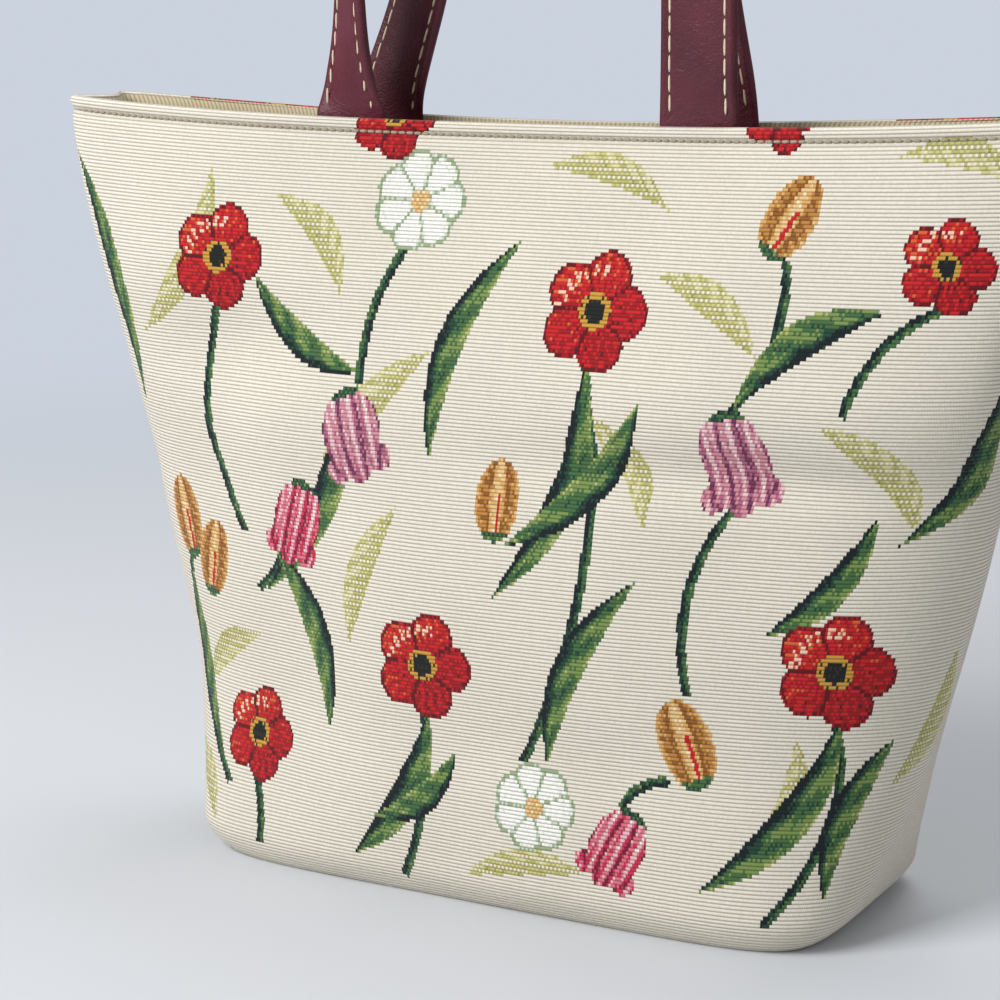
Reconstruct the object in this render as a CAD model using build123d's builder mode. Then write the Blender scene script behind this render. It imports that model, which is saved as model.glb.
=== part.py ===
from build123d import *
import os
from math import cos, pi, sin

os.makedirs("parts", exist_ok=True)

# A soft tapestry tote bag that stands on its boxed base. Millimetres, +Z up.
# The origin is the middle of the base. The front of the bag faces -Y.

# Outer size of the bag
height = 298.0
rim_half_width = 211.0
rim_half_depth = 24.0
base_half_width = 133.0
base_half_depth = 64.0

# How the cloth bellies, tucks and folds
belly = 9.0  # how far the ends bow outwards at half height
foot_height = 14.0  # the rounded foot, where the cloth turns under
foot_tuck = 8.0
side_fold = 13.0  # depth of the soft fold along each side seam
fold_spread = 0.55  # share of the fold that pushes the edges beside it outwards
rim_pinch = 0.6  # share of the rim's depth lost in the middle
rim_sag = 7.0  # drop of the rim in the middle

# Cloth and board
cloth = 1.2
lining_cloth = 0.5
board = 2.0
board_play = 2.0  # clearance all round the board
hem_height = 12.0
facing_height = 45.0
motif_gap = 0.2  # between the cloth and the flower yarns that float over it
motif_top = 0.5  # how far the flower yarns stand out of the cloth

# Straps
strap_width = 31.0
strap_thickness = 4.5
strap_edge_radius = 1.9
strap_spacing = 150.0  # between the middles of a handle's two ends
strap_end_depth = 26.0  # how far the ends reach down inside the seam
strap_clearance = 0.8  # between the rim and the free strap
seam_play = 0.1  # between a strap's flattened end and the cloth on either side of it
front_drop = 200.0
back_drop = 214.0
front_top_radius = 72.0
back_top_radius = 42.0
front_lean = 15.0  # how far the top of the handle leans out
back_lean = 5.0
twist_length = 170.0  # height over which a strap makes its quarter turn

# Heights of the outlines that the bag's form runs through
levels = [0, 0.012, 0.03, 0.06, 0.12, 0.22, 0.34, 0.46, 0.58, 0.7, 0.79, 0.89, 0.96, 1]
half_points = 30  # along half of an outline
fine_points = 360
handle_spans = 28
poppy_petals = 5
daisy_petals = 7
leg_share = 0.26  # the part of a handle's line that is its straight leg


def half_width(z):
    t = z / height
    tuck = foot_tuck * max(0, 1 - z / foot_height) ** 2
    return base_half_width + (rim_half_width - base_half_width) * t + belly * sin(pi * t) - tuck


def half_depth(z):
    t = z / height
    tuck = foot_tuck * max(0, 1 - z / foot_height) ** 2
    return rim_half_depth + (base_half_depth - rim_half_depth) * (1 - t**2.1) - tuck


def squareness(z):
    """2 is an ellipse, and a larger number is nearer to a rectangle."""
    t = z / height
    return 2.1 + 3 * max(0, 1 - t / 0.3) ** 2 + 5 * max(0, 2 * t - 1) ** 1.5


def fold(z):
    t = z / height
    return side_fold * max(0, sin(pi * max(0, t - 0.12) / 1.4))


def rim_height(x):
    return height - rim_sag * (1 - (x / rim_half_width) ** 2)


def outline_point(z, turn, inset):
    """A point of the bag's outline at one height, turn radians round from the right-hand side seam.
    inset is the thickness of the layers that lie outside it."""
    n = squareness(z)
    reach = (abs(cos(turn)) ** n + abs(sin(turn)) ** n) ** (-1 / n)
    across = reach * cos(turn)
    along = reach * sin(turn)
    t = z / height
    pinch = 1 - rim_pinch * t**6 * cos(pi * min(1, abs(across)) / 2) ** 4
    inwards = fold(z) * (max(0, 1 - along**2) ** 2 - fold_spread)
    x = (half_width(z) - inwards - inset) * across
    y = (half_depth(z) * pinch - inset) * along
    return x, y


def half_outline(z, inset, start):
    """Evenly spaced points along half of the outline, from one side seam to the other."""
    fine = [outline_point(z, start + pi * i / fine_points, inset) for i in range(fine_points + 1)]
    run = [0]
    for (x1, y1), (x2, y2) in zip(fine, fine[1:]):
        run.append(run[-1] + ((x2 - x1) ** 2 + (y2 - y1) ** 2) ** 0.5)
    points = [fine[0]]
    place = 0
    for i in range(1, half_points):
        while run[place + 1] < run[-1] * i / half_points:
            place += 1
        share = (run[-1] * i / half_points - run[place]) / (run[place + 1] - run[place])
        (x1, y1), (x2, y2) = fine[place], fine[place + 1]
        points.append((x1 + (x2 - x1) * share, y1 + (y2 - y1) * share))
    points.append(fine[-1])
    return points


# The layers, from the outside in, as the depth at which each one ends
under_cloth = cloth
under_hem = 2 * cloth
under_strap_end = 3 * cloth
under_facing = 4 * cloth
under_lining = under_strap_end + lining_cloth
board_floor = cloth
lining_floor = cloth + board

hem_floor = height - rim_sag - hem_height
facing_floor = height - rim_sag - facing_height
strap_end_floor = height - rim_sag - strap_end_depth
beyond = 4 * rim_half_width  # a length that reaches past the whole bag
rim_reach = rim_half_width * 1.2
strap_half = strap_spacing / 2


def strip(side, outer, inner, low, high):
    """A curved wall from one side seam to the other. side is -1 for the front and 1 for the back."""
    between = [level * height for level in levels if low + 1 < level * height < high - 1]
    start = 0 if side > 0 else pi
    shares = [i / half_points for i in range(half_points + 1)]
    with BuildPart() as wall:
        for z in [low] + between + [high]:
            outer_line = half_outline(z, outer, start)
            inner_line = half_outline(z, inner, start)
            with BuildSketch(Plane.XY.offset(z)):
                with BuildLine():
                    add(Edge.make_spline(outer_line, parameters=shares))
                    Line(outer_line[-1], inner_line[-1])
                    add(Edge.make_spline(inner_line, parameters=shares))
                    Line(inner_line[0], outer_line[0])
                make_face()
        loft()
    return wall.part


def floor_half(side, inset, z, thickness):
    """Half of a flat floor, which meets the other half along the middle of the base."""
    line = half_outline(z, inset, 0 if side > 0 else pi)
    with BuildPart() as floor:
        with BuildSketch(Plane.XY.offset(z)):
            with BuildLine():
                Spline(line)
                Line(line[-1], line[0])
            make_face()
        extrude(amount=thickness)
    return floor.part


rim_line = [(x, rim_height(x)) for x in (-rim_reach, -rim_reach / 2, 0, rim_reach / 2, rim_reach)]
with BuildPart() as above_rim:
    with BuildSketch(Plane.XZ):
        with BuildLine():
            Spline(rim_line)
            Polyline(rim_line[-1], (rim_reach, beyond), (-rim_reach, beyond), rim_line[0])
        make_face()
    extrude(amount=beyond, both=True)

for side, sign in {"front": -1, "back": 1}.items():
    with BuildPart() as panel:
        add(strip(sign, 0, under_cloth, 0, facing_floor))
        add(strip(sign, 0, under_cloth, facing_floor, hem_floor))
        add(strip(sign, 0, under_hem, hem_floor, height))
        add(floor_half(sign, under_cloth / 2, 0, cloth))
        add(above_rim.part, mode=Mode.SUBTRACT)

    # The flattened ends of the strap lie between the panel's hem and the facing.
    with BuildPart() as handle_ends:
        add(strip(sign, under_hem + seam_play, under_strap_end - seam_play, facing_floor, hem_floor))
        add(strip(sign, under_hem + seam_play, under_strap_end - seam_play, hem_floor, height))
        with BuildSketch(Plane.XY.offset(strap_end_floor)):
            with Locations((-strap_half, 0), (strap_half, 0)):
                Rectangle(strap_width, beyond)
        extrude(amount=height, mode=Mode.INTERSECT)
        add(above_rim.part, mode=Mode.SUBTRACT)

    # The facing's own hem is folded out against the panel's hem, and makes way for the strap ends.
    with BuildPart() as strap_gap:
        add(strip(sign, under_cloth, under_strap_end, hem_floor, height))
        with BuildSketch(Plane.XY.offset(hem_floor)):
            with Locations((-strap_half, 0), (strap_half, 0)):
                Rectangle(strap_width, beyond)
        extrude(amount=height, mode=Mode.INTERSECT)
    with BuildPart() as facing:
        add(strip(sign, under_hem, under_facing, hem_floor, height))
        add(strap_gap.part, mode=Mode.SUBTRACT)
        add(strip(sign, under_strap_end, under_facing, facing_floor, hem_floor))
        add(above_rim.part, mode=Mode.SUBTRACT)

    with BuildPart() as lining:
        add(strip(sign, under_strap_end, under_lining, lining_floor, facing_floor))
        add(floor_half(sign, (under_strap_end + under_lining) / 2, lining_floor, lining_cloth))

    pieces = {"panel": panel, "handle_ends": handle_ends, "facing": facing, "lining": lining}
    for name, piece in pieces.items():
        piece.part.label = f"{side}_{name}"
        export_step(piece.part, f"parts/{side}_{name}.step")

# A stiff board between the tapestry and the lining lets the base stand flat.
with BuildPart() as base_board:
    for sign in (-1, 1):
        add(floor_half(sign, under_cloth + board_play, board_floor, board))
base_board.part.label = "base_board"
export_step(base_board.part, "parts/base_board.step")


def rim_depth(x):
    """Half the depth of the mouth at the rim, x away from its middle."""
    return rim_half_depth * (1 - rim_pinch * cos(pi * x / rim_half_width / 2) ** 4)


strap_y = rim_depth(strap_half) - under_hem - cloth / 2
strap_foot = rim_height(strap_half + strap_width / 2) + strap_clearance


def handle_line(share, drop, top_radius, side, lean):
    """A point on a strap's middle line, from its left end (0) to its right end (1): two legs that
    close in on each other, and a half circle between their tops."""
    leg = drop - top_radius
    on_leg = min(1, min(share, 1 - share) / leg_share)
    around = pi * (share - leg_share) / (1 - 2 * leg_share)
    if on_leg < 1:
        x = (strap_half + (top_radius - strap_half) * on_leg) * (-1 if share < 0.5 else 1)
        z = leg * on_leg
    else:
        x = -top_radius * cos(around)
        z = leg + top_radius * sin(around)
    return Vector(x, side * (strap_y + lean * z / drop), strap_foot + z)


def handle(drop, top_radius, side, lean):
    """A flat strap that makes a quarter turn on its way up each leg, so that it lies flat on top."""
    shares = [i / handle_spans for i in range(handle_spans + 1)]
    middle = [handle_line(share, drop, top_radius, side, lean) for share in shares]
    edge = []
    for i, here in enumerate(middle):
        along = (middle[min(i + 1, handle_spans)] - middle[max(i - 1, 0)]).normalized()
        along = Vector(0, 0, 1) if i == 0 else along
        along = Vector(0, 0, -1) if i == handle_spans else along
        climb = min(1, (here.Z - strap_foot) / twist_length)
        twist = -side * pi / 2 * sin(pi / 2 * climb)
        across = along.cross(Vector(0, 1, 0)).normalized()
        edge.append(here + (across * cos(twist) + along.cross(across) * sin(twist)) * strap_width / 2)
    with BuildPart() as strap:
        with BuildLine() as path:
            Spline(middle, tangents=[(0, 0, 1), (0, 0, -1)])
        with BuildLine() as edge_path:
            Spline(edge, tangents=[(0, 0, 1), (0, 0, -1)])
        with BuildSketch(Plane(origin=middle[0], x_dir=(-1, 0, 0), z_dir=(0, 0, 1))):
            RectangleRounded(strap_width, strap_thickness, strap_edge_radius)
        sweep(path=path.line, binormal=edge_path.line.edge())
    return strap.part


with BuildPart() as front_handle:
    add(handle(front_drop, front_top_radius, -1, front_lean))
front_handle.part.label = "front_handle"
export_step(front_handle.part, "parts/front_handle.step")

with BuildPart() as back_handle:
    add(handle(back_drop, back_top_radius, 1, back_lean))
back_handle.part.label = "back_handle"
export_step(back_handle.part, "parts/back_handle.step")


# The flowers woven into the panels: each yarn's fields are a thin pile that lies on the cloth.
def petals(radius, petal_count):
    """A round open flower."""
    Circle(radius * 0.55)
    with PolarLocations(radius * 0.55, petal_count):
        Circle(radius * 0.45)


def bell(length):
    """A hanging bell with a scalloped lip. Its stalk is at the top."""
    Ellipse(length * 0.36, length * 0.5)
    with Locations((-length * 0.27, -length * 0.36), (0, -length * 0.42), (length * 0.27, -length * 0.36)):
        Circle(length * 0.15)


def bud(length):
    """A closed, egg-shaped bud."""
    Ellipse(length * 0.3, length * 0.5)


def leaf(start, end, width, bend):
    """A blade from one point to another, bent to the left of that line."""
    along = Vector(end) - Vector(start)
    aside = Vector(-along.Y, along.X).normalized()
    middle = Vector(start) + along / 2
    with BuildLine() as outline:
        ThreePointArc(start, middle + aside * (bend + width / 2), end)
        ThreePointArc(end, middle + aside * (bend - width / 2), start)
    make_face(outline.edges())


poppies = [(-128, 238, 21), (38, 226, 22), (-22, 92, 21), (138, 104, 22), (-104, 52, 19), (170, 248, 17)]
bells = [(-58, 176, 34, 20), (-84, 140, 32, -15), (98, 178, 36, 10), (60, 34, 30, -25)]
buds = [(-150, 132, 34, 15), (-132, 118, 32, -10), (112, 262, 32, -30), (84, 74, 34, 20), (6, 156, 30, 0)]
daisies = [(-42, 262, 19), (26, 44, 17)]
dark_leaves = [
    ((-110, 232), (-58, 198), 7, -8),
    ((-58, 196), (-100, 110), 8, 10),
    ((38, 210), (6, 120), 7, 12),
    ((10, 140), (62, 196), 8, -8),
    ((-20, 74), (-52, 14), 8, 8),
    ((-44, 30), (-8, 60), 8, -7),
    ((140, 86), (92, 22), 9, 9),
    ((98, 196), (150, 232), 8, 8),
    ((-150, 112), (-124, 40), 7, -8),
]
pale_leaves = [
    ((-166, 206), (-134, 272), 9, -9),
    ((-70, 150), (-28, 208), 9, 8),
    ((62, 240), (104, 214), 8, 6),
    ((130, 192), (164, 154), 9, 7),
    ((-104, 92), (-140, 64), 8, -6),
    ((110, 30), (124, 78), 8, -6),
]


def woven_fields(kind, turned):
    """The fields of one yarn on one side, as a flat sketch. turned is -1 where the side is mirrored."""
    with BuildSketch() as fields:
        if kind == "red_poppies":
            for x, z, radius in poppies:
                with Locations((turned * x, z)):
                    petals(radius, poppy_petals)
        if kind == "white_daisies":
            for x, z, radius in daisies:
                with Locations((turned * x, z)):
                    petals(radius, daisy_petals)
        if kind == "pink_bells":
            for x, z, length, lean in bells:
                with Locations(Location((turned * x, z), turned * lean)):
                    bell(length)
        if kind == "gold_buds":
            for x, z, length, lean in buds:
                with Locations(Location((turned * x, z), turned * lean)):
                    bud(length)
        if kind == "dark_leaves":
            for start, end, width, bend in dark_leaves:
                leaf((turned * start[0], start[1]), (turned * end[0], end[1]), width, turned * bend)
        if kind == "pale_leaves":
            for start, end, width, bend in pale_leaves:
                leaf((turned * start[0], start[1]), (turned * end[0], end[1]), width, turned * bend)
    return fields.sketch


# Each yarn's fields stop at the edges of the flowers that lie over them.
yarns = ["red_poppies", "white_daisies", "pink_bells", "gold_buds", "dark_leaves", "pale_leaves"]
for side, sign in {"front": -1, "back": 1}.items():
    with BuildPart() as pile:
        add(strip(sign, -motif_top, -motif_gap, 0, facing_floor))
        add(strip(sign, -motif_top, -motif_gap, facing_floor, hem_floor))
    above = []
    for kind in yarns:
        field = woven_fields(kind, -sign)
        with BuildSketch(Plane.XZ) as flat:
            add(field)
            for form in above:
                add(form, mode=Mode.SUBTRACT)
        above.append(field)
        with BuildPart() as yarn:
            extrude(flat.sketch, amount=-sign * beyond)
            add(pile.part, mode=Mode.INTERSECT)
        yarn.part.label = f"{side}_{kind}"
        export_step(yarn.part, f"parts/{side}_{kind}.step")
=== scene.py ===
import math

import bmesh
import bpy
import numpy as np
from mathutils import Matrix, Vector


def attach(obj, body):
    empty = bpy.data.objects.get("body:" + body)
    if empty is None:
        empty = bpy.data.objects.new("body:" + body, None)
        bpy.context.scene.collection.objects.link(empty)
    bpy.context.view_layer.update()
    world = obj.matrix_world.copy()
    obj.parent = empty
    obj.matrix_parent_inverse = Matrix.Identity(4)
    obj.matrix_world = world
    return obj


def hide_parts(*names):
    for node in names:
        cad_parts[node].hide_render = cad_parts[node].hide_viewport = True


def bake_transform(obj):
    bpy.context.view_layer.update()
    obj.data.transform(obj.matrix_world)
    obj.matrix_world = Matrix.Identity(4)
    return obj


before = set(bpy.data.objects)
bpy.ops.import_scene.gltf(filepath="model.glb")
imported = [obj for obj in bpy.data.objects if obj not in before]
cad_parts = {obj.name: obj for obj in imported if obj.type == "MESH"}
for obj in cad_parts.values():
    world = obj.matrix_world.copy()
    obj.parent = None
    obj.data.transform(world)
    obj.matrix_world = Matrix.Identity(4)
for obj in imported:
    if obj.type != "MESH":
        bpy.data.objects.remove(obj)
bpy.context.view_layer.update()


# The view. The bag is seen from its right front corner, a little from above, with the right end
# and the tops of the handles outside the picture.
view_turn = math.radians(29.1)
view_tilt = math.radians(11.7)
view_roll = math.radians(-0.4)
view_distance = 1.013

ahead = Vector((
    -math.sin(view_turn) * math.cos(view_tilt),
    math.cos(view_turn) * math.cos(view_tilt),
    -math.sin(view_tilt),
))
level_right = Vector((math.cos(view_turn), math.sin(view_turn), 0))
level_up = level_right.cross(ahead)
right = level_right * math.cos(view_roll) + level_up * math.sin(view_roll)
up = level_up * math.cos(view_roll) - level_right * math.sin(view_roll)
looked_at = level_right * -0.0193 + Vector((0, 0, 0.1462))

camera = bpy.data.objects.new("view", bpy.data.cameras.new("view"))
camera.data.lens = 94.4
camera.data.sensor_width = 36
camera.data.clip_start = 0.05
camera.matrix_world = Matrix.Translation(looked_at - ahead * view_distance) @ Matrix(
    (right, up, -ahead)
).transposed().to_4x4()
bpy.context.scene.collection.objects.link(camera)
bpy.context.scene.camera = camera


# The tapestry panels. Each is one piece of heavy ribbed cloth that runs from the seam under the
# base, up the wall and over the rim, where it is turned in. Its form is a flared tub with square
# top corners, a soft fold down each side seam, a sagging rim and a rounded foot. Millimetres.
height = 298.0
rim_half_width, rim_half_depth = 211.0, 24.0
base_half_width, base_half_depth = 136.0, 64.0
foot_tuck, foot_height = 8.0, 14.0
belly, waist = 9.0, 3.5
end_fold = 13.0
rim_pinch = 0.6
rim_sag = 7.0


def outline(z, turn, inset):
    """Points of the bag's outline at height z, turn radians round from the right-hand side seam."""
    t = z / height
    tuck = foot_tuck * np.maximum(0, 1 - z / foot_height) ** 2
    half_width = base_half_width + (rim_half_width - base_half_width) * t
    half_width = half_width + belly * np.sin(math.pi * t) - tuck
    half_width = half_width - waist * np.exp(-((t - 0.74) / 0.16) ** 2)
    half_depth = rim_half_depth + (base_half_depth - rim_half_depth) * (1 - t**2.1) - tuck
    square = 2.1 + 3 * np.maximum(0, 1 - t / 0.3) ** 2 + 5 * np.maximum(0, 2 * t - 1) ** 1.5
    square = square + 1.5 * np.maximum(0, 1 - t / 0.12) ** 2
    reach = (np.abs(np.cos(turn)) ** square + np.abs(np.sin(turn)) ** square) ** (-1 / square)
    across, along = reach * np.cos(turn), reach * np.sin(turn)
    pinch = 1 - rim_pinch * t**6 * np.cos(math.pi * np.minimum(1, np.abs(across)) / 2) ** 4
    fold = end_fold * np.maximum(0, np.sin(math.pi * np.maximum(0, t - 0.12) / 1.4))
    inwards = fold * (np.maximum(0, 1 - along**2) ** 2 - 0.55)
    return (half_width - inwards - inset) * across, (half_depth * pinch - inset) * along


def row_of_cloth(side, level, inset, steps):
    """One level row of a panel, from seam to seam, as x, y, z in millimetres. The row dips with
    the rim where it is near it."""
    start = 0 if side > 0 else math.pi
    fine = np.linspace(start, start + math.pi, 721)
    x, y = outline(np.full_like(fine, level), fine, inset)
    run = np.concatenate([[0], np.cumsum(np.hypot(np.diff(x), np.diff(y)))])
    turn = np.interp(np.linspace(0, run[-1], steps + 1), run, fine)
    x, y = outline(np.full_like(turn, level), turn, inset)
    z = level - rim_sag * (1 - (x / rim_half_width) ** 2) * (level / height) ** 3
    x, y = outline(z, turn, inset)
    return np.stack([x, y, z], axis=1)


def soft_shape(x, z):
    """How far the cloth stands out or in where it has been handled, in millimetres. Each bulge
    or hollow has a middle, a reach across and upwards, and a height."""
    bulges = (
        (-118, 206, 46, 18, -5.6),
        (-74, 174, 40, 22, 3.0),
        (-150, 170, 26, 60, 1.8),
        (96, 170, 88, 10, -4.8),
        (104, 196, 80, 15, 3.0),
        (-30, 118, 60, 34, 2.4),
        (30, 62, 110, 16, -2.2),
        (-92, 60, 30, 46, -2.4),
        (140, 118, 30, 60, 2.0),
        (10, 250, 120, 20, -1.6),
    )
    total = np.zeros_like(x)
    for centre_x, centre_z, wide, high, stands_out in bulges:
        total += stands_out * np.exp(-((x - centre_x) / wide) ** 2 - ((z - centre_z) / high) ** 2)
    ripple = np.sin(x * 0.061 + z * 0.023) * np.sin(z * 0.047 - x * 0.017 + 1.1)
    return total + 0.7 * ripple


def handled(row, side, level):
    """A row of cloth with its soft shape, which fades out at the ends, the foot and the rim. The
    back has its own, milder one."""
    if side < 0:
        away = soft_shape(row[:, 0], row[:, 2])
    else:
        away = 0.8 * soft_shape(20 - row[:, 0], row[:, 2])
    facing_out = np.clip((np.abs(row[:, 1]) - 8) / 12, 0, 1)
    off_foot = np.clip(level / 12, 0, 1)
    off_rim = np.clip((height - level) / 30, 0, 1)
    row[:, 1] += side * away * facing_out * off_foot * off_rim
    return row


def sheet_mesh(name, rows, shares=None):
    """A mesh that runs through rows of points in millimetres, with one UV map over the whole.
    shares are the heights of the rows in that map, where they aren't even."""
    across, along = len(rows[0]) - 1, len(rows) - 1
    mesh = bmesh.new()
    bmesh.ops.create_grid(mesh, x_segments=across, y_segments=along, size=0.5)
    places = mesh.loops.layers.uv.new("OFBake")
    for face in mesh.faces:
        for loop in face.loops:
            share = loop.vert.co.y + 0.5
            if shares is not None:
                share = shares[round(share * along)]
            loop[places].uv = (loop.vert.co.x + 0.5, share)
    for vert in mesh.verts:
        column = round((vert.co.x + 0.5) * across)
        row = round((vert.co.y + 0.5) * along)
        vert.co = Vector(rows[row][column]) / 1000
    for face in mesh.faces:
        face.smooth = True
    data = bpy.data.meshes.new(name)
    mesh.to_mesh(data)
    mesh.free()
    piece = bpy.data.objects.new(name, data)
    bpy.context.scene.collection.objects.link(piece)
    return piece


def linear(*levels):
    """A colour given as 0 to 255 screen levels, as light."""
    shares = [level / 255 for level in levels]
    return np.array([v / 12.92 if v <= 0.04 else ((v + 0.055) / 1.055) ** 2.4 for v in shares])


# A meadow is woven into the cloth, yarn by yarn: wherever a colour comes to the face, it covers
# the cream yarn for a few threads. Each palette runs from its darkest yarn to its palest.
cream = linear(228, 221, 206)
yarn_levels = {
    "red": ((96, 8, 20), (158, 16, 26), (196, 30, 34), (214, 92, 48), (240, 196, 170)),
    "pink": ((112, 52, 84), (170, 96, 122), (205, 138, 152), (228, 190, 194), (238, 226, 216)),
    "rose": ((120, 20, 52), (196, 44, 78), (214, 108, 126), (228, 180, 186), (238, 226, 216)),
    "gold": ((142, 88, 36), (184, 128, 62), (212, 164, 98), (226, 190, 134), (240, 218, 176)),
    "white": ((150, 168, 130), (196, 206, 188), (222, 226, 214), (238, 238, 230), (246, 246, 240)),
    "green": ((16, 28, 32), (32, 66, 52), (66, 104, 62), (118, 142, 78), (168, 176, 108)),
    "straw": ((150, 148, 84), (178, 174, 106), (198, 192, 128), (214, 208, 156), (226, 218, 180)),
}
yarns = {name: [linear(*levels) for levels in palette] for name, palette in yarn_levels.items()}
heart_yarns = [linear(20, 26, 24), linear(52, 40, 30), linear(196, 150, 60)]

# Poppies and daisies are given by their middle and radius, bells and buds by their middle, length
# and lean, leaves by their two tips, width and bend, and stems by their two ends and bend.
poppies = [(-128, 238, 21), (38, 226, 22), (-22, 92, 21), (138, 104, 22), (-104, 52, 19), (170, 248, 17)]
bells = [(-58, 176, 34, 20), (-84, 140, 32, -15), (98, 178, 36, 10), (60, 34, 30, -25)]
buds = [
    (-150, 132, 34, 15),
    (-132, 118, 32, -10),
    (112, 262, 32, -30),
    (84, 74, 34, 20),
    (6, 156, 30, 0),
]
daisies = [(-42, 262, 19), (26, 44, 17)]
rim_poppies = {
    "front": [(-58, 294, 18), (104, 298, 15)],
    "back": [(138, 299, 24), (168, 297, 12), (-150, 300, 22), (-196, 292, 16)],
}
dark_leaves = [
    ((-110, 232), (-58, 198), 12, -8),
    ((-58, 196), (-100, 110), 13, 10),
    ((38, 210), (6, 120), 13, 12),
    ((10, 140), (62, 196), 13, -8),
    ((-20, 74), (-52, 14), 13, 8),
    ((-44, 30), (-8, 60), 11, -7),
    ((140, 86), (92, 22), 14, 9),
    ((98, 196), (150, 232), 13, 8),
    ((-150, 112), (-124, 40), 11, -8),
    ((-206, 276), (-172, 176), 9, 8),
    ((-66, 60), (-96, 128), 12, -9),
    ((64, 132), (30, 60), 12, -8),
    ((150, 160), (112, 116), 11, 7),
    ((196, 214), (158, 150), 12, 9),
    ((4, 250), (-24, 168), 12, -10),
    ((160, 78), (138, 20), 11, -7),
]
pale_leaves = [
    ((-166, 206), (-134, 272), 13, -9),
    ((-70, 150), (-28, 208), 14, 8),
    ((62, 240), (104, 214), 12, 6),
    ((130, 192), (164, 154), 13, 7),
    ((-104, 92), (-140, 64), 12, -6),
    ((110, 30), (124, 78), 12, -6),
    ((-104, 262), (-70, 226), 12, 8),
    ((10, 276), (64, 262), 11, 7),
    ((-56, 96), (-36, 150), 12, 6),
    ((66, 150), (40, 190), 11, -6),
    ((-160, 40), (-124, 14), 12, 7),
    ((186, 110), (160, 60), 12, 7),
    ((196, 276), (150, 284), 10, -6),
    ((-2, 14), (48, 22), 10, 5),
]
stems = [
    ((-128, 220), (-112, 132), -10),
    ((-58, 194), (-44, 246), 4),
    ((-84, 155), (-104, 110), 6),
    ((38, 206), (20, 60), 14),
    ((98, 160), (84, 92), -8),
    ((138, 84), (116, 12), 10),
    ((-22, 74), (-30, 8), 5),
    ((-104, 36), (-98, 10), 2),
    ((170, 234), (138, 196), -6),
    ((112, 248), (98, 196), 6),
    ((-150, 116), (-118, 30), -10),
    ((60, 48), (78, 60), 3),
]

# Where one shade runs into the next, the 16 crossings of a block change colour in this order.
crossing_order = np.array([[0, 8, 2, 10], [12, 4, 14, 6], [3, 11, 1, 9], [15, 7, 13, 5]])


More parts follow.
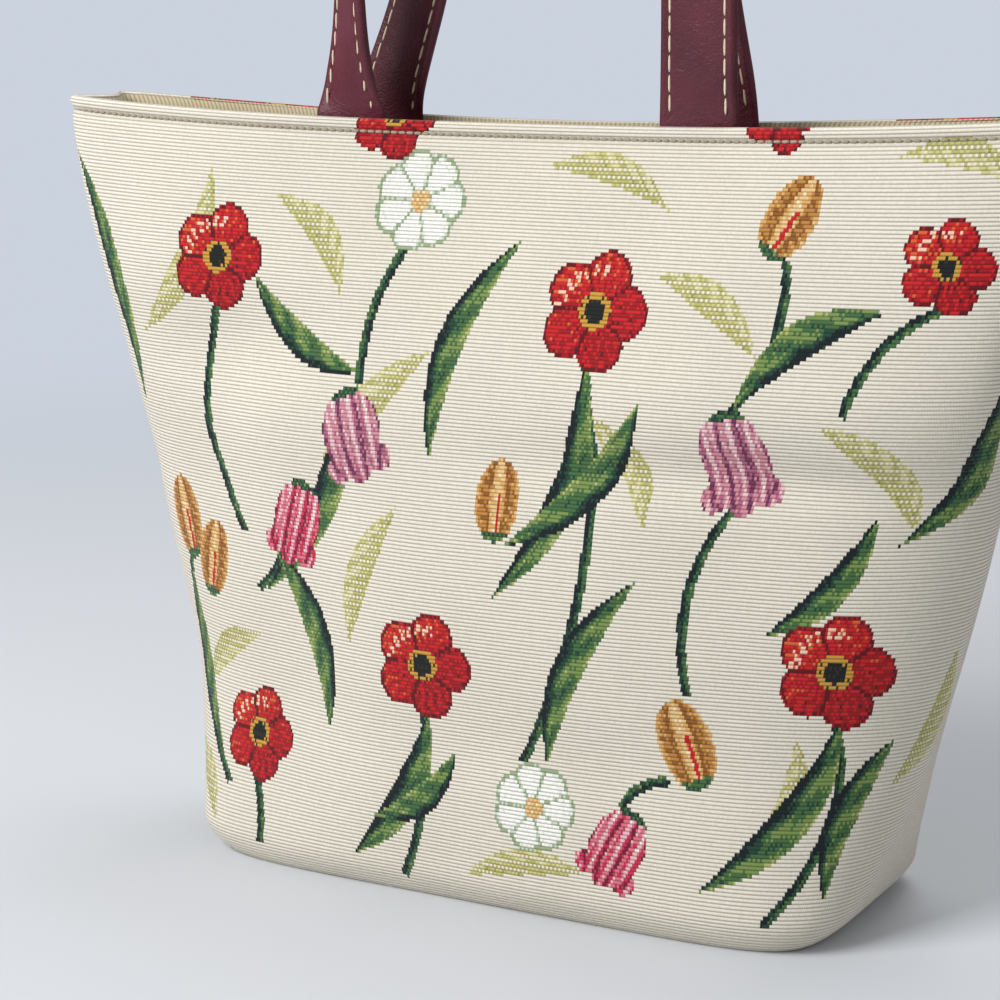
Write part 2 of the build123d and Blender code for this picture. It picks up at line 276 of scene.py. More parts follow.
def weave_meadow(x, z, column, row, rim_flowers):
    """The colour of the yarn that lies on top at each thread crossing."""
    step = (crossing_order[row % 4, column % 4] + 0.5) / 16
    thread = np.sin(column * 12.9898 + row * 78.233) * 43758.5453
    thread -= np.floor(thread)
    colour = np.tile(cream, (len(x), 1))
    colour *= (0.955 + 0.06 * thread)[:, None]

    def lay(inside, tone, palette):
        shades = np.array(palette)
        pick = np.floor(tone * (len(shades) - 1) + 0.5 * thread + 0.9 * step - 0.2)
        pick = np.clip(pick, 0, len(shades) - 1).astype(int)
        colour[inside] = shades[pick[inside]]

    def bent_line(start, end, bend):
        """The share along a bent line, the distance beside it, and how far it is from its tips."""
        run_x, run_z = end[0] - start[0], end[1] - start[1]
        length = math.hypot(run_x, run_z)
        along = ((x - start[0]) * run_x + (z - start[1]) * run_z) / length**2
        aside = (-(x - start[0]) * run_z + (z - start[1]) * run_x) / length
        off_tips = 4 * np.clip(along, 0, 1) * (1 - np.clip(along, 0, 1))
        return along, aside - bend * off_tips, off_tips

    def blade(start, end, width, bend):
        """The share along a blade, the place across it from -1 to 1, and what lies inside it."""
        along, aside, off_tips = bent_line(start, end, bend)
        across = aside / np.maximum(0.05, width / 2 * off_tips)
        return along, across, (np.abs(across) < 1) & (along > 0) & (along < 1)

    def upright(centre_x, centre_z, lean):
        """Distances from a leaning flower's middle, to its right and up along it."""
        turn = math.radians(lean)
        right_of = (x - centre_x) * math.cos(turn) + (z - centre_z) * math.sin(turn)
        above = -(x - centre_x) * math.sin(turn) + (z - centre_z) * math.cos(turn)
        return right_of, above

    def petals(centre_x, centre_z, radius, count):
        """Distances from a round flower's middle, from its nearest petal and from the next one."""
        gaps = []
        for i in range(count):
            turn = 2 * math.pi * i / count
            petal_x = centre_x + 0.55 * radius * math.cos(turn)
            petal_z = centre_z + 0.55 * radius * math.sin(turn)
            gaps.append(np.hypot(x - petal_x, z - petal_z))
        nearest, next_one = np.sort(np.array(gaps), axis=0)[:2]
        return np.hypot(x - centre_x, z - centre_z), nearest, next_one

    for start, end, width, bend in pale_leaves:
        along, across, inside = blade(start, end, width, bend)
        streak = 0.5 + 0.5 * np.sin(along * 40 + across * 5)
        shows = inside & ((step < 0.74) | (np.abs(across) > 0.78))
        lay(shows, 0.25 + 0.5 * streak * (across > 0) + 0.2 * step, yarns["straw"])

    for start, end, bend in stems:
        along, aside, off_tips = bent_line(start, end, bend)
        inside = (np.abs(aside) < 1.9) & (along > 0) & (along < 1)
        lay(inside, 0.1 + 0.35 * (aside > 0.1) + 0.1 * np.sin(along * 30), yarns["green"])

    for start, end, width, bend in dark_leaves:
        along, across, inside = blade(start, end, width, bend)
        vein = np.exp(-((across + 0.1) / 0.22) ** 2)
        tone = 0.42 + 0.38 * across + 0.16 * np.sin(along * 26 + across * 3) + 0.25 * vein
        tone = np.where(across < -0.62, 0.02, tone)
        lay(inside, np.clip(tone, 0, 0.95), yarns["green"])

    for centre_x, centre_z, length, lean in bells:
        right_of, above = upright(centre_x, centre_z, lean)
        cup = (right_of / (0.36 * length)) ** 2 + (above / (0.5 * length)) ** 2 < 1
        for lip, drop in ((-0.27, -0.36), (0, -0.42), (0.27, -0.36)):
            cup |= np.hypot(right_of - lip * length, above - drop * length) < 0.15 * length
        narrowing = np.sqrt(np.clip(1 - (above / (0.62 * length)) ** 2, 0.2, 1))
        petal = right_of / (0.36 * length) / narrowing
        ridge = np.abs(((petal * 1.5 + 0.5) % 1) - 0.5) * 2
        tone = 0.2 + 0.5 * (1 - ridge) + 0.22 * np.sin(right_of * 1.9) + 0.2 * (above / length)
        tone = np.where(ridge > 0.86, 0.04, tone)
        lay(cup, np.clip(tone, 0, 0.98), yarns["pink" if lean > 0 else "rose"])
        cap = cup & (above > 0.4 * length)
        lay(cap, 0.2 + 0.3 * step, yarns["green"])

    for centre_x, centre_z, length, lean in buds:
        right_of, above = upright(centre_x, centre_z, lean)
        bud = (right_of / (0.3 * length)) ** 2 + (above / (0.5 * length)) ** 2
        narrowing = np.sqrt(np.clip(1 - (above / (0.52 * length)) ** 2, 0.05, 1))
        across = right_of / (0.3 * length) / narrowing
        seam = np.abs(np.abs(across) - 0.42)
        tone = 0.46 + 0.3 * np.cos(across * 5.2) + 0.14 * np.sin(above * 1.5 + right_of)
        tone = np.where(seam < 0.09, 0.06, tone)
        lay(bud < 1, np.clip(tone, 0, 0.95), yarns["gold"])
        stripe = (bud < 1) & (np.abs(across - 0.1) < 0.09) & (above < 0.1 * length)
        lay(stripe, np.full_like(x, 0.5), yarns["red"])
        lay((bud < 1) & (above < -0.38 * length), 0.35 + 0.2 * step, yarns["green"])

    for centre_x, centre_z, radius in daisies:
        away, nearest, next_one = petals(centre_x, centre_z, radius, 7)
        inside = (nearest < 0.45 * radius) | (away < 0.55 * radius)
        tone = 0.9 - 0.5 * (nearest / (0.45 * radius)) ** 3 + 0.12 * np.sin(away * 2.4)
        tone = np.where(next_one - nearest < 1.1, 0.12, tone)
        tone = np.where((away > 0.55 * radius) & (nearest > 0.37 * radius), 0.06, tone)
        lay(inside, np.clip(tone, 0, 0.98), yarns["white"])
        lay(away < 0.22 * radius, 0.55 + 0.3 * step, yarns["gold"])

    for centre_x, centre_z, radius in poppies + rim_flowers:
        away, nearest, next_one = petals(centre_x, centre_z, radius, 5)
        inside = (nearest < 0.45 * radius) | (away < 0.55 * radius)
        around = np.arctan2(z - centre_z, x - centre_x)
        streak = np.sin(around * 23 + 1.3 * np.sin(away * 0.9))
        light = np.cos(around - 2.2)
        tone = 0.34 + 0.14 * streak + 0.16 * light * (away / radius) + 0.12 * (away / radius)
        shine = (light > 0.55) & (np.abs(away / radius - 0.66) < 0.1) & (streak > -0.2)
        tone = np.where(shine, 0.92, tone)
        tone = np.where((next_one - nearest < 1.3) & (away > 0.3 * radius), 0.02, tone)
        tone = np.where((away > 0.55 * radius) & (nearest > 0.39 * radius), 0.1, tone)
        lay(inside, np.clip(tone, 0, 0.99), yarns["red"])
        lay(away < 0.3 * radius, np.where(away < 0.19 * radius, 0.1, 0.95), heart_yarns)

    return colour


def weave_group():
    """The relief of a ribbed weave, and the painted shade that darkens its grooves. Ribs and Threads
    count upwards, one for each rib and for each thread that binds it."""
    group = bpy.data.node_groups.new("ribbed weave", "ShaderNodeTree")
    face = group.interface
    face.new_socket("Yarn Colour", in_out="INPUT", socket_type="NodeSocketColor")
    face.new_socket("Painted Groove Shade", in_out="INPUT", socket_type="NodeSocketColor")
    face.new_socket("Ribs", in_out="INPUT", socket_type="NodeSocketFloat")
    face.new_socket("Threads", in_out="INPUT", socket_type="NodeSocketFloat")
    face.new_socket("Place", in_out="INPUT", socket_type="NodeSocketVector")
    face.new_socket("Colour", in_out="OUTPUT", socket_type="NodeSocketColor")
    face.new_socket("Height", in_out="OUTPUT", socket_type="NodeSocketFloat")
    nodes, links = group.nodes, group.links
    given = nodes.new("NodeGroupInput")
    result = nodes.new("NodeGroupOutput")

    def maths(kind, *values):
        node = nodes.new("ShaderNodeMath")
        node.operation = kind
        for socket, value in zip(node.inputs, values):
            if isinstance(value, (int, float)):
                socket.default_value = value
            else:
                links.new(value, socket)
        return node.outputs[0]

    ridge = maths("ABSOLUTE", maths("SINE", maths("MULTIPLY", given.outputs["Ribs"], math.pi)))
    crown = maths("POWER", ridge, 0.7)
    odd = maths("MULTIPLY", maths("FLOOR", given.outputs["Ribs"]), math.pi)
    bound = maths("SINE", maths("ADD", maths("MULTIPLY", given.outputs["Threads"], 2 * math.pi), odd))
    bead = maths("MULTIPLY", maths("ADD", maths("MULTIPLY", bound, 0.5), 0.5), crown)
    fuzz = nodes.new("ShaderNodeTexNoise")
    fuzz.inputs["Scale"].default_value = 1400
    fuzz.inputs["Detail"].default_value = 3
    links.new(given.outputs["Place"], fuzz.inputs["Vector"])
    cloud = nodes.new("ShaderNodeTexNoise")
    cloud.inputs["Scale"].default_value = 26
    cloud.inputs["Detail"].default_value = 2
    links.new(given.outputs["Place"], cloud.inputs["Vector"])
    fibres = maths("MULTIPLY", fuzz.outputs["Fac"], 0.22)
    patches = maths("MULTIPLY", cloud.outputs["Fac"], 0.10)
    lit = maths("ADD", maths("ADD", fibres, patches), 0.84)
    # Painted shade: down in the grooves between the ribs, the yarn is multiplied by the groove colour,
    # which stands in for shadow.
    groove_shaded_yarn = nodes.new("ShaderNodeMix")
    groove_shaded_yarn.data_type = "RGBA"
    groove_shaded_yarn.blend_type = "MULTIPLY"
    groove_shaded_yarn.inputs["Factor"].default_value = 1
    links.new(given.outputs["Yarn Colour"], groove_shaded_yarn.inputs["A"])
    links.new(given.outputs["Painted Groove Shade"], groove_shaded_yarn.inputs["B"])
    groove = nodes.new("ShaderNodeMix")
    groove.data_type = "RGBA"
    shown = nodes.new("ShaderNodeMapRange")
    shown.inputs["From Min"].default_value = 0.38
    shown.inputs["From Max"].default_value = 0.8
    links.new(crown, shown.inputs["Value"])
    links.new(shown.outputs["Result"], groove.inputs["Factor"])
    links.new(groove_shaded_yarn.outputs["Result"], groove.inputs["A"])
    links.new(given.outputs["Yarn Colour"], groove.inputs["B"])
    last = nodes.new("ShaderNodeVectorMath")
    last.operation = "SCALE"
    links.new(groove.outputs["Result"], last.inputs[0])
    links.new(lit, last.inputs["Scale"])
    links.new(last.outputs["Vector"], result.inputs["Colour"])
    relief = maths("ADD", maths("MULTIPLY", crown, 0.72), maths("MULTIPLY", bead, 0.2))
    relief = maths("ADD", relief, maths("MULTIPLY", fuzz.outputs["Fac"], 0.12))
    links.new(relief, result.inputs["Height"])
    return group


ribbed_weave = weave_group()


def cloth_material(name, ribs, threads, upright, rib_groove_shade, relief, yarn_colour=None):
    """Ribbed cloth, with painted shade in the grooves between its ribs. Its yarn colour comes from the
    threads' own colours where none is given.
    """
    material = bpy.data.materials.new(name)
    material.use_nodes = True
    nodes, links = material.node_tree.nodes, material.node_tree.links
    shader = nodes["Principled BSDF"]
    shader.inputs["Roughness"].default_value = 0.86
    shader.inputs["Specular IOR Level"].default_value = 0.25
    shader.inputs["Sheen Weight"].default_value = 0.12
    shader.inputs["Sheen Roughness"].default_value = 0.5
    weave = nodes.new("ShaderNodeGroup")
    weave.node_tree = ribbed_weave
    # The groove colour is painted shade: it darkens the yarn in the grooves between the ribs.
    weave.inputs["Painted Groove Shade"].default_value = (*rib_groove_shade, 1)
    if yarn_colour is None:
        yarn = nodes.new("ShaderNodeVertexColor")
        yarn.layer_name = "yarn"
        links.new(yarn.outputs["Color"], weave.inputs["Yarn Colour"])
    else:
        weave.inputs["Yarn Colour"].default_value = (*yarn_colour, 1)
    place = nodes.new("ShaderNodeTexCoord")
    links.new(place.outputs["Object"], weave.inputs["Place"])
    along = nodes.new("ShaderNodeUVMap")
    along.uv_map = "OFBake"
    split = nodes.new("ShaderNodeSeparateXYZ")
    links.new(along.outputs["UV"], split.inputs["Vector"])
    rib_axis, thread_axis = ("X", "Y") if upright else ("Y", "X")
    for count, axis, socket in ((ribs, rib_axis, "Ribs"), (threads, thread_axis, "Threads")):
        many = nodes.new("ShaderNodeMath")
        many.operation = "MULTIPLY"
        many.inputs[1].default_value = count
        links.new(split.outputs[axis], many.inputs[0])
        links.new(many.outputs[0], weave.inputs[socket])
    bump = nodes.new("ShaderNodeBump")
    bump.inputs["Strength"].default_value = 0.9
    bump.inputs["Distance"].default_value = relief
    links.new(weave.outputs["Height"], bump.inputs["Height"])
    links.new(bump.outputs["Normal"], shader.inputs["Normal"])
    links.new(weave.outputs["Colour"], shader.inputs["Base Color"])
    return material


# The cloth's threads and ribs, and how it is rolled over at the rim and sewn down below it. The
# mesh has one row for each rib of the wall, and fewer under the base, where nothing shows.
thread_columns = 440
base_ribs, base_rows = 44, 10
wall_rows = 206
roll_rows, roll_radius = 3, 1.4
hem_rows, hem_step = 4, 2.2
base_lift = 0.4
stitch_drop = 3.9
groove_depth, groove_spread = 1.5, 1.6
puff_height, puff_spread = 0.4, 2.0
# Painted shade: the share by which the cloth rows in the groove drawn in by the rim sewing are darkened.
painted_stitch_groove_shade = 0.36
corner_reach = 14.0

wall_height = height - roll_radius
panel_ribs = base_ribs + wall_rows + roll_rows + hem_rows
rib_counts = [base_ribs * i / base_rows for i in range(base_rows)]
rib_counts += [base_ribs + i for i in range(wall_rows + roll_rows + hem_rows + 1)]


def panel_rows(side):
    """Rows of a panel, from the seam under the base to the edge of its hem."""
    rows = []
    edge = row_of_cloth(side, 0.0, 0, thread_columns)
    for i in range(base_rows):
        share = i / base_rows
        under = edge.copy()
        under[:, 1] = edge[:, 1] * share
        under[:, 2] = base_lift * (1 - share**6)
        rows.append(under)
    for i in range(wall_rows + 1):
        level = wall_height * i / wall_rows
        wall = handled(row_of_cloth(side, level, 0, thread_columns), side, level)
        drop = wall_height - level
        pulled = groove_depth * np.exp(-((drop - stitch_drop) / groove_spread) ** 2)
        puffed = puff_height * np.exp(-((drop - roll_radius) / puff_spread) ** 2)
        from_corner = np.abs(wall[:, 0]).max() - np.abs(wall[:, 0])
        slope = math.pi / 2 * np.clip(from_corner / corner_reach, 0, 1)
        wall[:, 0] -= np.sign(wall[:, 0]) * (pulled - puffed) * np.cos(slope)
        wall[:, 1] -= side * (pulled - puffed) * np.sin(slope)
        rows.append(wall)
    top = row_of_cloth(side, wall_height, 0, thread_columns)
    top_in = row_of_cloth(side, wall_height, 2 * roll_radius, thread_columns)
    for i in range(1, roll_rows + 1):
        turn = math.pi * i / roll_rows
        rolled = top + (top_in - top) * (1 - math.cos(turn)) / 2
        rolled[:, 2] = top[:, 2] + roll_radius * math.sin(turn)
        rows.append(rolled)
    for i in range(1, hem_rows + 1):
        level = wall_height - i * hem_step
        rows.append(row_of_cloth(side, level, 2 * roll_radius, thread_columns))
    return rows


def colour_yarns(panel, rows, rim_flowers):
    """Give each face of a panel, which is one thread crossing, the colour of its yarn, with painted
    shade along the groove of the rim sewing.
    """
    lengths = [np.hypot(np.diff(line[:, 0]), np.diff(line[:, 1])).sum() for line in rows]
    middles = np.array([face.center for face in panel.data.polygons]) * 1000
    first = np.array([face.loop_start for face in panel.data.polygons])
    uv = np.zeros(len(panel.data.loops) * 2)
    panel.data.uv_layers["OFBake"].data.foreach_get("uv", uv)
    uv = uv.reshape(-1, 2)
    middle_uv = (uv[first] + uv[first + 1] + uv[first + 2] + uv[first + 3]) / 4
    column = np.floor(middle_uv[:, 0] * thread_columns).astype(int)
    row = np.floor(middle_uv[:, 1] * panel_ribs + 0.001).astype(int)
    x = (middle_uv[:, 0] - 0.5) * np.interp(middle_uv[:, 1] * panel_ribs, rib_counts, lengths)
    far_below = -50
    z = np.where(row < base_ribs, far_below, middles[:, 2])
    woven = weave_meadow(x, z, column, row, rim_flowers)
    below_rim = (base_ribs + wall_rows - row - 0.5) * wall_height / wall_rows
    # Painted shade: the rows of cloth in the groove drawn in by the rim sewing are darkened, as the
    # groove lies in shadow.
    woven *= (1 - painted_stitch_groove_shade * np.exp(-((below_rim - stitch_drop) / 1.1) ** 2))[:, None]
    corners = np.ones((len(panel.data.loops), 4))
    for i in range(4):
        corners[first + i, :3] = woven
    yarn = panel.data.color_attributes.new("yarn", "FLOAT_COLOR", "CORNER")
    yarn.data.foreach_set("color", corners.ravel())


# The grey (0.68, 0.65, 0.60) is painted shade: it darkens the tapestry's yarn in the grooves between the
# ribs.
tapestry = cloth_material("tapestry", panel_ribs, thread_columns, False, (0.68, 0.65, 0.60), 0.0005)
for name, side in (("front", -1), ("back", 1)):
    rows = panel_rows(side)
    panel = sheet_mesh(name + "_tapestry", rows, [count / panel_ribs for count in rib_counts])
    colour_yarns(panel, rows, rim_poppies[name])
    panel.data.materials.append(tapestry)
    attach(panel, "bag")
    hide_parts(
        name + "_panel",
        name + "_red_poppies",
        name + "_white_daisies",
        name + "_pink_bells",
        name + "_gold_buds",
        name + "_dark_leaves",
        name + "_pale_leaves",
    )


# The seam down each end, where the two panels meet: the cloth is turned in, and its edge shows
# as a thin sunken line of pale yarn.
seam_half_width = 0.9
seam_depth, seam_crown = 0.45, 0.35


def speckled(name, roughness, scale, dark, pale):
    """A plain material whose colour wavers between two near tones."""
    material = bpy.data.materials.new(name)
    material.use_nodes = True
    nodes, links = material.node_tree.nodes, material.node_tree.links
    nodes["Principled BSDF"].inputs["Roughness"].default_value = roughness
    place = nodes.new("ShaderNodeTexCoord")
    speckle = nodes.new("ShaderNodeTexNoise")
    speckle.name = "speckle"
    speckle.inputs["Scale"].default_value = scale
    tint = nodes.new("ShaderNodeValToRGB")
    tint.color_ramp.elements[0].color = (*dark, 1)
    tint.color_ramp.elements[1].color = (*pale, 1)
    links.new(place.outputs["Object"], speckle.inputs["Vector"])
    links.new(speckle.outputs["Fac"], tint.inputs["Fac"])
    links.new(tint.outputs["Color"], nodes["Principled BSDF"].inputs["Base Color"])
    return material


def finished_piece(name, mesh, material, body):
    """A smooth piece from a bmesh, dressed and carried by its body."""
    for face in mesh.faces:
        face.smooth = True
    data = bpy.data.meshes.new(name)
    mesh.to_mesh(data)
    mesh.free()
    piece = bpy.data.objects.new(name, data)
    bpy.context.scene.collection.objects.link(piece)
    piece.data.materials.append(material)
    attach(piece, body)
    return piece


seam_yarn = speckled("seam yarn", 0.88, 900, (0.42, 0.37, 0.26), (0.66, 0.60, 0.46))
for name, sign in (("right", 1), ("left", -1)):
    turn = 0 if sign > 0 else math.pi
    seam = bmesh.new()
    bmesh.ops.create_grid(seam, x_segments=6, y_segments=140, size=0.5)
    for vert in seam.verts:
        level = 1 + (wall_height - 2) * (vert.co.y + 0.5)
        across = vert.co.x * 2
        x, y = outline(np.array([level]), np.array([turn]), 0)
        sunk = seam_depth - seam_crown * math.cos(across * math.pi / 2)
        vert.co = Vector((x[0] - sign * sunk, y[0] + across * seam_half_width, level)) / 1000
    bmesh.ops.recalc_face_normals(seam, faces=seam.faces)
    finished_piece(name + "_seam", seam, seam_yarn, "bag")


# The facings: the same cloth cut the other way, so that its ribs stand upright, sewn inside the
# rim to hide the hem and the ends of the straps.
facing_drop = 45.0
facing_columns, facing_rows = 300, 14
facing_ribs = 240
# The facing's groove colour is painted shade, which darkens its yarn in the grooves between its upright
# ribs.
facing_groove_shade = (0.62, 0.58, 0.48)
facing_cloth = cloth_material(
    "facing cloth", facing_ribs, 90, True, facing_groove_shade, 0.0003, linear(214, 202, 172)
)
for name, side in (("front", -1), ("back", 1)):
    rows = []
    for i in range(facing_rows + 1):
        level = height - 0.5 - facing_drop * (i / facing_rows) ** 1.4
        inset = 2.3 + 1.7 * math.sin(math.pi * min(1, i / 4) / 2)
        rows.append(handled(row_of_cloth(side, level, inset, facing_columns), side, level))
    facing = sheet_mesh(name + "_facing_cloth", rows)
    facing.data.materials.append(facing_cloth)
    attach(facing, "bag")
    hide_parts(name + "_facing")


# The linings: a thin plain cloth that hangs from the facings and covers the floor of the bag.
lining_columns, lining_rows, lining_floor_rows = 160, 60, 12
lining_inset, lining_floor = 4.4, 3.9
lining_top = height - facing_drop + 1.5
# The grey (0.8, 0.78, 0.72) is painted shade, which darkens the lining's yarn in the grooves between its
# fine ribs.
lining_cloth = cloth_material(
    "lining cloth", 420, 260, False, (0.8, 0.78, 0.72), 0.00008, linear(186, 174, 148)
)
for name, side in (("front", -1), ("back", 1)):
    rows = []
    floor_edge = row_of_cloth(side, lining_floor, lining_inset, lining_columns)
    for i in range(lining_floor_rows):
        under = floor_edge.copy()
        under[:, 1] *= i / lining_floor_rows
        under[:, 2] = lining_floor
        rows.append(under)
    for i in range(lining_rows + 1):
        level = lining_floor + (lining_top - lining_floor) * i / lining_rows
        wall = row_of_cloth(side, level, lining_inset, lining_columns)
        rows.append(handled(wall, side, level))
    lining = sheet_mesh(name + "_lining_cloth", rows)
    lining.data.materials.append(lining_cloth)
    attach(lining, "bag")
    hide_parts(name + "_lining")


# The base board: a stiff grey card between the tapestry and the lining, out of sight.
card = speckled("grey card", 0.9, 600, (0.12, 0.11, 0.10), (0.22, 0.20, 0.18))
base_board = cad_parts["base_board"]
base_board.data.materials.clear()
base_board.data.materials.append(card)


# The straps: burgundy leather cloth folded round a soft core, with its edges rolled in. Each
# goes in behind the rim, and makes a quarter turn on its way up, so that it lies flat on top.
strap_width = 31.0
strap_half_gap = 75.0
strap_leg_share = 0.26
strap_points, strap_line_steps, strap_round_steps = 28, 260, 36
strap_inset, strap_lift = 3.0, 0.8
buried = 22.0
early_turn_reach = 18.0
late_turn_start, late_turn_reach = 40.0, 130.0
pressed_share, pressed_reach = 0.42, 14.0
stitch_inset, stitch_pitch = 4.3, 7.0
stitch_length, stitch_width, stitch_lift = 6.3, 0.95, 1.5
handles = {
    "front": {
        "side": -1, "drop": 200.0, "top_radius": 72.0, "lean": 15.0,
        "feet": (-79.0, 68.0), "draw": 1.0, "turns": (-46, 6),
    },
    "back": {
        "side": 1, "drop": 214.0, "top_radius": 42.0, "lean": 5.0,
        "feet": (-80.0, 65.0), "draw": 1.8, "turns": (-22, 0),
    },
}

rim_share = strap_half_gap / rim_half_width
rim_depth = rim_half_depth * (1 - rim_pinch * math.cos(math.pi * rim_share / 2) ** 4)
strap_y = rim_depth - strap_inset
outer_edge = strap_half_gap + strap_width / 2
strap_foot = height - rim_sag * (1 - (outer_edge / rim_half_width) ** 2) + strap_lift


def strap_point(share, side, drop, top_radius, lean, feet, draw):
    """A point on a strap's middle line, from its left end (0) to its right end (1). A draw over
    one pulls the legs inwards soon above their feet."""
    leg = drop - top_radius
    on_leg = min(1, min(share, 1 - share) / strap_leg_share)
    around = math.pi * (share - strap_leg_share) / (1 - 2 * strap_leg_share)
    foot, top = (feet[0], -top_radius) if share < 0.5 else (feet[1], top_radius)
    if on_leg < 1:
        x = top + (foot - top) * (1 - on_leg) ** draw
        z = leg * on_leg
    else:
        x = -top_radius * math.cos(around)
        z = leg + top_radius * math.sin(around)
    return Vector((x, side * (strap_y + lean * z / drop), strap_foot + z))


def strap_places(**line_shape):
    """Evenly spaced places along a strap's middle line, and how far along it each one is."""
    control = [strap_point(i / strap_points, **line_shape) for i in range(strap_points + 1)]
    sunk = Vector((0, 0, buried))
    control = [control[0] - sunk] + control + [control[-1] - sunk]
    curve = bpy.data.curves.new("strap line", "CURVE")
    curve.dimensions = "3D"
    line = curve.splines.new("NURBS")
    line.points.add(len(control) - 1)
    for point, place in zip(line.points, control):
        point.co = (*place, 1)
    line.order_u = 4
    line.use_endpoint_u = True
    line.resolution_u = 24
    holder = bpy.data.objects.new("strap line", curve)
    fine = bpy.data.meshes.new_from_object(holder)
    points = np.array([vert.co for vert in fine.vertices])
    bpy.data.objects.remove(holder)
    bpy.data.curves.remove(curve)
    bpy.data.meshes.remove(fine)
    run = np.concatenate([[0], np.cumsum(np.linalg.norm(np.diff(points, axis=0), axis=1))])
    even = np.linspace(0, run[-1], strap_line_steps + 1)
    return np.stack([np.interp(even, run, points[:, i]) for i in range(3)], axis=1), even


def strap_frames(turns, **line_shape):
    """Places along a strap, with the directions along it, across its width and out of its face.
    Each leg first turns by its own angle in turns, then on to a quarter turn."""
    places, runs = strap_places(**line_shape)
    frames = []
    for i, place in enumerate(places):
        along = Vector(places[min(i + 1, strap_line_steps)] - places[max(i - 1, 0)]).normalized()
        climb = max(0, place[2] - strap_foot)
        late = min(1, max(0, climb - late_turn_start) / late_turn_reach)
        late = late * late * (3 - 2 * late)
        early = turns[0 if place[0] < 0 else 1] * (1 - math.exp(-climb / early_turn_reach))
        twist = math.radians(early * (1 - late) - 90 * late)
        sideways = along.cross(Vector((0, 1, 0))).normalized()
        across = sideways * math.cos(twist) + along.cross(sideways) * math.sin(twist)
        out = across.cross(along).normalized()
        frames.append((Vector(place), along, across, out, runs[i]))
    return frames


def fullness(z):
    """The straps are pressed flat where they go in behind the rim."""
    risen = max(0, min(1, (z - strap_foot - 1) / pressed_reach))
    return pressed_share + (1 - pressed_share) * risen


def strap_section(turn):
    """The strap's profile: padded in the middle, drawn down at the stitches, rolled at the edges."""
    across = math.cos(turn)
    place = math.copysign(abs(across) ** 0.42, across) * strap_width / 2
    inward = strap_width / 2 - abs(place)
    padded = 1.75 + 0.55 * max(0, 1 - (place / 11.0) ** 2)
    rolled = 0.5 * math.exp(-((inward - 1.9) / 1.3) ** 2)
    drawn = 0.4 * math.exp(-((inward - stitch_inset) / 0.9) ** 2)
    edge = math.sqrt(max(0, 1 - (1 - min(1, inward / 2.1)) ** 2))
    if abs(math.sin(turn)) < 1e-6:
        return place, 0.0
    return place, math.copysign((padded + rolled - drawn) * edge, math.sin(turn))


def leather_material():
    """Dyed leather with pores, fine creases and a worn tone."""
    material = bpy.data.materials.new("burgundy leather")
    material.use_nodes = True
    nodes, links = material.node_tree.nodes, material.node_tree.links
    shader = nodes["Principled BSDF"]
    shader.inputs["Specular IOR Level"].default_value = 0.42
    place = nodes.new("ShaderNodeTexCoord")
    pores = nodes.new("ShaderNodeTexVoronoi")
    pores.feature = "F1"
    pores.inputs["Scale"].default_value = 1100
    creases = nodes.new("ShaderNodeTexNoise")
    creases.inputs["Scale"].default_value = 210
    creases.inputs["Detail"].default_value = 6
    creases.inputs["Distortion"].default_value = 1.2
    wear = nodes.new("ShaderNodeTexNoise")
    wear.inputs["Scale"].default_value = 38
    wear.inputs["Detail"].default_value = 4
    for texture in (pores, creases, wear):
        links.new(place.outputs["Object"], texture.inputs["Vector"])
    dye = nodes.new("ShaderNodeValToRGB")
    dye.color_ramp.elements[0].position = 0.3
    dye.color_ramp.elements[0].color = (*linear(72, 17, 31), 1)
    dye.color_ramp.elements[1].position = 0.72
    dye.color_ramp.elements[1].color = (*linear(99, 31, 47), 1)
    links.new(wear.outputs["Fac"], dye.inputs["Fac"])
    links.new(dye.outputs["Color"], shader.inputs["Base Color"])
    rough = nodes.new("ShaderNodeMapRange")
    rough.inputs["To Min"].default_value = 0.38
    rough.inputs["To Max"].default_value = 0.58
    links.new(creases.outputs["Fac"], rough.inputs["Value"])
    links.new(rough.outputs["Result"], shader.inputs["Roughness"])
    relief = nodes.new("ShaderNodeMath")
    relief.operation = "MULTIPLY_ADD"
    relief.inputs[1].default_value = 0.35
    links.new(pores.outputs["Distance"], relief.inputs[0])
    links.new(creases.outputs["Fac"], relief.inputs[2])
    bump = nodes.new("ShaderNodeBump")
    bump.inputs["Strength"].default_value = 0.45
    bump.inputs["Distance"].default_value = 0.0009
    links.new(relief.outputs[0], bump.inputs["Height"])
    links.new(bump.outputs["Normal"], shader.inputs["Normal"])
    return material


def thread_material(name, dark, pale):
    """Twisted sewing thread."""
    material = speckled(name, 0.7, 1600, dark, pale)
    nodes, links = material.node_tree.nodes, material.node_tree.links
    bump = nodes.new("ShaderNodeBump")
    bump.inputs["Distance"].default_value = 0.0003
    bump.inputs["Strength"].default_value = 0.6
    links.new(nodes["speckle"].outputs["Fac"], bump.inputs["Height"])
    links.new(bump.outputs["Normal"], nodes["Principled BSDF"].inputs["Normal"])
    return material


def add_stitch(mesh, place, along, out, length, width):
    """One stitch: a short rounded thread that lies on the surface, in millimetres."""
    made = bmesh.ops.create_icosphere(mesh, subdivisions=2, radius=1)["verts"]
    across = along.cross(out).normalized()
    half_axes = along.normalized() * length / 2, across * width / 2, out.normalized() * width / 2
    shape = Matrix(half_axes).transposed()
    for vert in made:
        capped = Vector((math.copysign(abs(vert.co.x) ** 0.6, vert.co.x), vert.co.y, vert.co.z))
        vert.co = (place + shape @ capped) / 1000


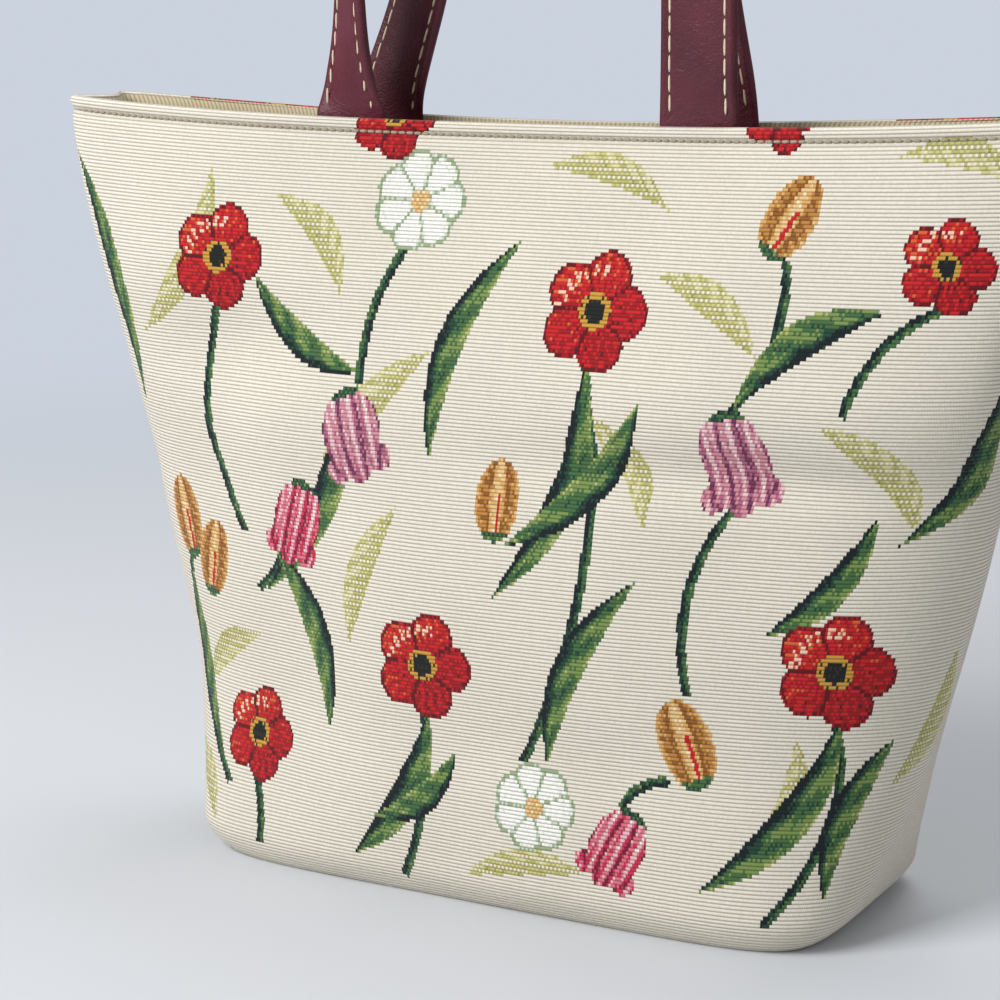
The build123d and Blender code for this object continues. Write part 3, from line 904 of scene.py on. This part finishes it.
leather = leather_material()
cream_thread = thread_material("cream thread", linear(206, 184, 150), linear(240, 226, 198))
for name, shape in handles.items():
    frames = strap_frames(**shape)
    rows = []
    for place, along, across, out, run in frames:
        ring = []
        for i in range(strap_round_steps + 1):
            aside, thick = strap_section(2 * math.pi * i / strap_round_steps)
            ring.append(place + across * aside + out * thick * fullness(place.z))
        rows.append(ring)
    strap = sheet_mesh(name + "_strap", rows)
    joined = bmesh.new()
    joined.from_mesh(strap.data)
    bmesh.ops.remove_doubles(joined, verts=joined.verts, dist=0.00002)
    bmesh.ops.holes_fill(joined, edges=joined.edges, sides=0)
    bmesh.ops.recalc_face_normals(joined, faces=joined.faces)
    joined.to_mesh(strap.data)
    joined.free()
    strap.data.materials.append(leather)
    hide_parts(name + "_handle", name + "_handle_ends")
    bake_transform(strap)

    stitches = bmesh.new()
    next_at = frames[0][4]
    for (place, along, across, out, run), (next_place, *_, next_run) in zip(frames, frames[1:]):
        while next_at <= next_run:
            here = place.lerp(next_place, (next_at - run) / (next_run - run))
            next_at += stitch_pitch
            if here.z <= strap_foot + 1.5:
                continue
            for edge in (-1, 1):
                for facing in (-out, out):
                    surface = here + across * edge * (strap_width / 2 - stitch_inset)
                    surface += facing * stitch_lift * fullness(here.z)
                    add_stitch(stitches, surface, along, facing, stitch_length, stitch_width)
    finished_piece(name + "_strap_stitches", stitches, cream_thread, name + "_handle")


# The row of sewing that holds the hem and the facing, about 5 mm below the rim: a grey-beige
# thread that lies in the groove it has drawn into the cloth.
rim_stitches = 140
rim_stitch_depth, rim_stitch_width = 1.15, 1.3
rim_thread = thread_material("grey beige thread", linear(134, 124, 106), linear(178, 166, 142))
for name, side in (("front", -1), ("back", 1)):
    sewing = bmesh.new()
    line = row_of_cloth(side, wall_height - stitch_drop, rim_stitch_depth, rim_stitches * 4)
    for i in range(1, rim_stitches - 1):
        start, end = Vector(line[i * 4]), Vector(line[i * 4 + 3])
        along = end - start
        out = along.cross(Vector((0, 0, 1)))
        length = along.length * 1.25
        add_stitch(sewing, (start + end) / 2, along, out, length, rim_stitch_width)
    finished_piece(name + "_rim_sewing", sewing, rim_thread, "bag")


# The room: a plain pale floor that runs out of sight, and soft light from a large lamp at the
# upper left, a weaker one on the right and a pale sky.
floor_mesh = bmesh.new()
bmesh.ops.create_grid(floor_mesh, x_segments=1, y_segments=1, size=30)
floor_data = bpy.data.meshes.new("floor")
floor_mesh.to_mesh(floor_data)
floor_mesh.free()
floor = bpy.data.objects.new("floor", floor_data)
bpy.context.scene.collection.objects.link(floor)
floor_paint = bpy.data.materials.new("pale floor")
floor_paint.use_nodes = True
paint, paint_links = floor_paint.node_tree.nodes, floor_paint.node_tree.links
near_floor = paint["Principled BSDF"]
near_floor.inputs["Base Color"].default_value = (0.62, 0.64, 0.67, 1)
near_floor.inputs["Roughness"].default_value = 0.8
far_floor = paint.new("ShaderNodeEmission")
far_floor.inputs["Color"].default_value = (0.60, 0.65, 0.73, 1)
floor_place = paint.new("ShaderNodeTexCoord")
from_bag = paint.new("ShaderNodeVectorMath")
from_bag.operation = "LENGTH"
paint_links.new(floor_place.outputs["Object"], from_bag.inputs[0])
fade = paint.new("ShaderNodeMapRange")
fade.interpolation_type = "SMOOTHSTEP"
fade.inputs["From Min"].default_value = 0.35
fade.inputs["From Max"].default_value = 1.5
paint_links.new(from_bag.outputs["Value"], fade.inputs["Value"])
seen = paint.new("ShaderNodeLightPath")
fade_seen = paint.new("ShaderNodeMath")
fade_seen.operation = "MULTIPLY"
paint_links.new(fade.outputs["Result"], fade_seen.inputs[0])
paint_links.new(seen.outputs["Is Camera Ray"], fade_seen.inputs[1])
both = paint.new("ShaderNodeMixShader")
paint_links.new(fade_seen.outputs[0], both.inputs["Fac"])
paint_links.new(near_floor.outputs["BSDF"], both.inputs[1])
paint_links.new(far_floor.outputs["Emission"], both.inputs[2])
paint_links.new(both.outputs["Shader"], paint["Material Output"].inputs["Surface"])
floor.data.materials.append(floor_paint)

world = bpy.data.worlds.new("sky")
world.use_nodes = True
world.node_tree.nodes["Background"].inputs["Color"].default_value = (0.93, 0.96, 1.0, 1)
world.node_tree.nodes["Background"].inputs["Strength"].default_value = 0.37
bpy.context.scene.world = world

for name, place, size, power in (
    ("window", (-0.9, -1.5, 1.5), 1.2, 46),
    ("fill", (1.8, -0.9, 1.1), 1.6, 2),
    ("top", (0.1, 0.6, 1.9), 1.2, 12),
):
    lamp = bpy.data.lights.new(name, "AREA")
    lamp.size = size
    lamp.energy = power
    holder = bpy.data.objects.new(name, lamp)
    holder.location = place
    holder.rotation_euler = (Vector((0, 0, 0.18)) - Vector(place)).to_track_quat("-Z", "Y").to_euler()
    bpy.context.scene.collection.objects.link(holder)

bpy.context.scene.view_settings.view_transform = "Standard"
